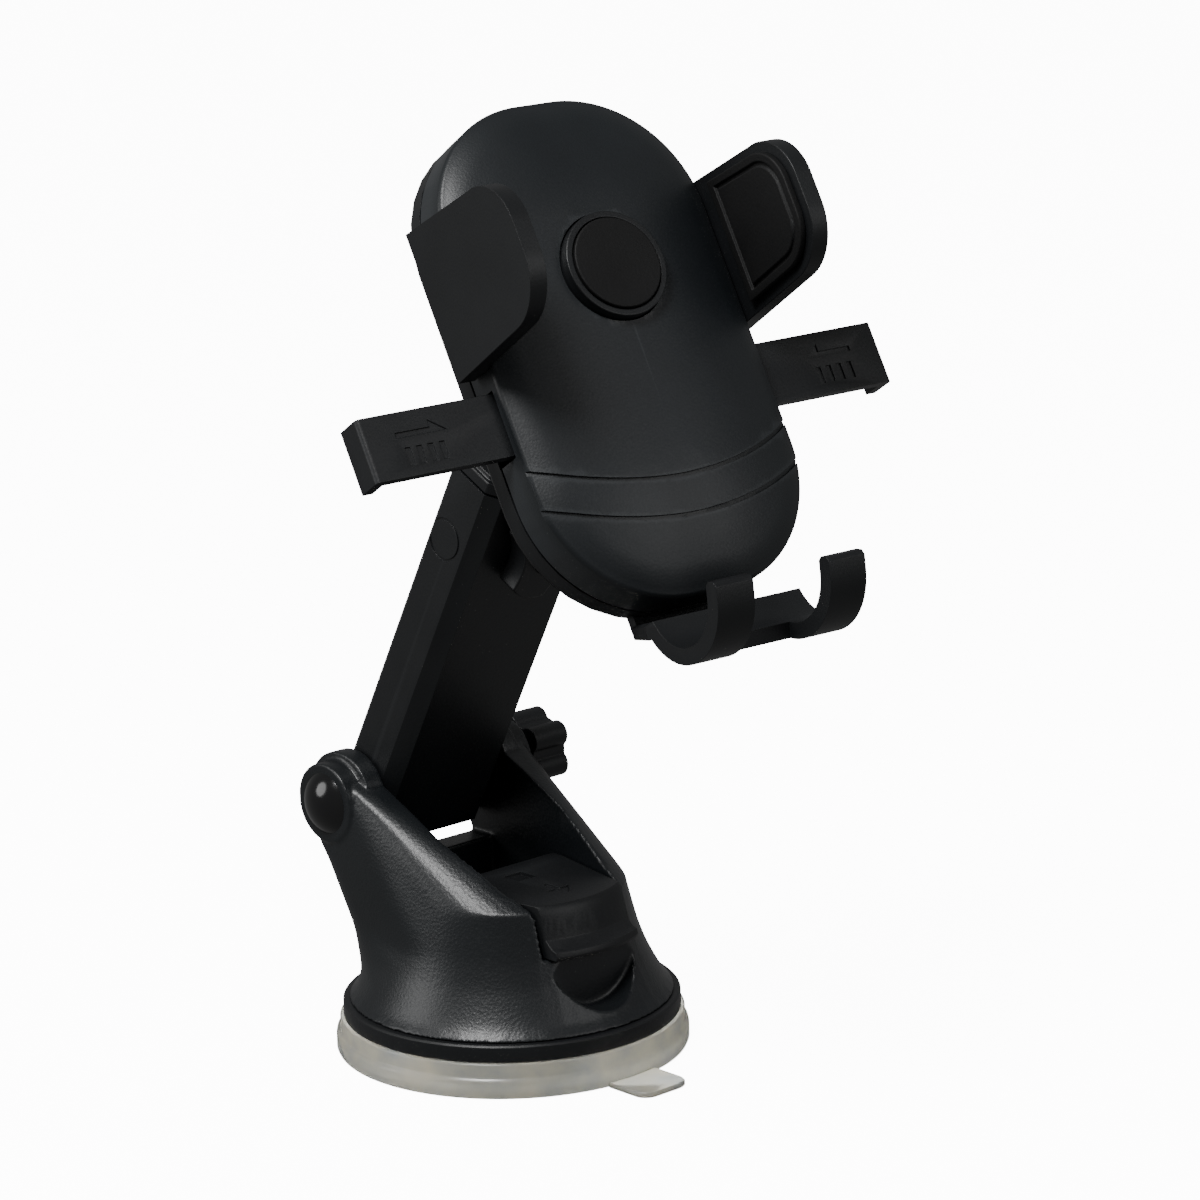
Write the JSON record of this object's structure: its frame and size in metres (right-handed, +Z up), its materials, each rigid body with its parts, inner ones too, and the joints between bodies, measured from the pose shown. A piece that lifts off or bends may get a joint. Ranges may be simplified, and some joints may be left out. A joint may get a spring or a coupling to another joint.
{
  "type": "car phone mount",
  "caption": "Suction cup phone mount with telescopic arm, ball joint, spring clamp arms, squeeze levers and sliding foot hooks.",
  "frame": {"origin": "centre of the suction cup's lower face", "axes": "+Z up away from the surface the cup sits on, -Y to the front, where the lock lever is and the arm leans, +X to the arm knob"},
  "size_m": [0.1257, 0.1388, 0.2032],
  "materials": {
    "gel": "clear gel",
    "satin_black": "satin",
    "grain_black": "fine grained satin",
    "head_black": "soft satin",
    "gloss_black": "gloss",
    "rubber_black": "matte",
    "nylon": "natural nylon",
    "steel": "zinc plated"
  },
  "bodies": {
    "base": {"base_housing": "grain_black", "suction_cup": "gel", "base_ring": "satin_black", "base_screws": "steel", "well_cover": "satin_black", "pivot_bolt": "steel", "pivot_cap": "gloss_black", "pivot_washers": "rubber_black", "cup_spring": "steel"},
    "stud": {"cup_stud": "steel"},
    "lever": {"lock_lever": "satin_black", "lever_axle_pin": "steel"},
    "tilt_knob": {"pivot_knob": "satin_black", "pivot_nut": "steel"},
    "arm": {"outer_arm": "satin_black", "arm_clamp_shoe": "satin_black"},
    "slide_knob": {"arm_lock_knob": "satin_black", "arm_lock_screw": "steel"},
    "extension": {"inner_arm": "satin_black", "ball_stud": "steel"},
    "liner": {"ball_liner": "nylon"},
    "nut": {"ball_nut": "satin_black"},
    "head": {"back_cover": "satin_black", "front_cover": "head_black", "cover_screws": "steel", "button_guide": "satin_black", "pinion_pin": "steel", "clamp_spring": "steel", "button_spring": "steel"},
    "button": {"release_button": "satin_black", "button_pad": "rubber_black", "latch_plunger": "nylon"},
    "left_arm": {"left_clamp": "satin_black", "left_clamp_pad": "rubber_black"},
    "right_arm": {"right_clamp": "satin_black", "right_clamp_pad": "rubber_black"},
    "gear": {"pinion": "nylon"},
    "foot": {"foot_bracket": "satin_black"}
  },
  "joints": [
    {"name": "stud_lift", "type": "slide", "parent": "base", "child": "stud", "axis": [0, 0, 1], "range_m": [-0.0018, 0]},
    {"name": "lever_open", "type": "hinge", "parent": "stud", "child": "lever", "pos_m": [0, 0, 0.0305], "axis": [-1, 0, 0], "range_deg": [0, 70]},
    {"name": "tilt_knob_turn", "type": "hinge", "parent": "base", "child": "tilt_knob", "pos_m": [0.033, 0.0293, 0.0528], "axis": [1, 0, 0], "range_deg": [-180, 180]},
    {"name": "arm_swing", "type": "hinge", "parent": "base", "child": "arm", "pos_m": [0, 0.0293, 0.0528], "axis": [1, 0, 0], "range_deg": [-100, 38]},
    {"name": "slide_knob_turn", "type": "hinge", "parent": "arm", "child": "slide_knob", "pos_m": [0, -0.01367, 0.11204], "axis": [0, -0.8821, -0.471], "range_deg": [-180, 180]},
    {"name": "arm_extend", "type": "slide", "parent": "arm", "child": "extension", "axis": [0, -0.471, 0.8821], "range_m": [0, 0.045]},
    {"name": "ball_tilt", "type": "hinge", "parent": "extension", "child": "liner", "pos_m": [0, -0.0178, 0.14101], "axis": [1, 0, 0], "range_deg": [-60, 4]},
    {"name": "ball_pan", "type": "hinge", "parent": "liner", "child": "nut", "pos_m": [0, -0.0178, 0.14101], "axis": [0.0472, 0.5093, 0.8593], "range_deg": [-12, 12]},
    {"name": "head_spin", "type": "hinge", "parent": "nut", "child": "head", "pos_m": [0, -0.0178, 0.14101], "axis": [-0.1404, -0.8483, 0.5105], "range_deg": [-180, 180]},
    {"name": "button_press", "type": "slide", "parent": "head", "child": "button", "axis": [0.1404, 0.8483, -0.5105], "range_m": [0, 0.002], "stiffness_N_per_m": 400, "springref_m": -0.0015, "deforming": ["button_spring"]},
    {"name": "left_arm_open", "type": "slide", "parent": "head", "child": "left_arm", "axis": [-0.989, 0.1448, -0.0315], "range_m": [0, 0.0165], "stiffness_N_per_m": 60, "springref_m": -0.015, "deforming": ["clamp_spring"]},
    {"name": "right_arm_open", "type": "slide", "parent": "head", "child": "right_arm", "axis": [0.989, -0.1448, 0.0315], "range_m": [0, 0.0165]},
    {"name": "gear_turn", "type": "hinge", "parent": "head", "child": "gear", "pos_m": [0.00309, -0.03046, 0.16685], "axis": [-0.1404, -0.8483, 0.5105], "range_deg": [-240, 0]},
    {"name": "foot_extend", "type": "slide", "parent": "head", "child": "foot", "axis": [-0.0472, -0.5093, -0.8593], "range_m": [0, 0.014]}
  ],
  "couplings": [
    {"joint": "lever_open", "follows": "stud_lift", "rad_per_m": -678.7},
    {"joint": "right_arm_open", "follows": "left_arm_open", "ratio": 1},
    {"joint": "gear_turn", "follows": "left_arm_open", "rad_per_m": -250}
  ]
}
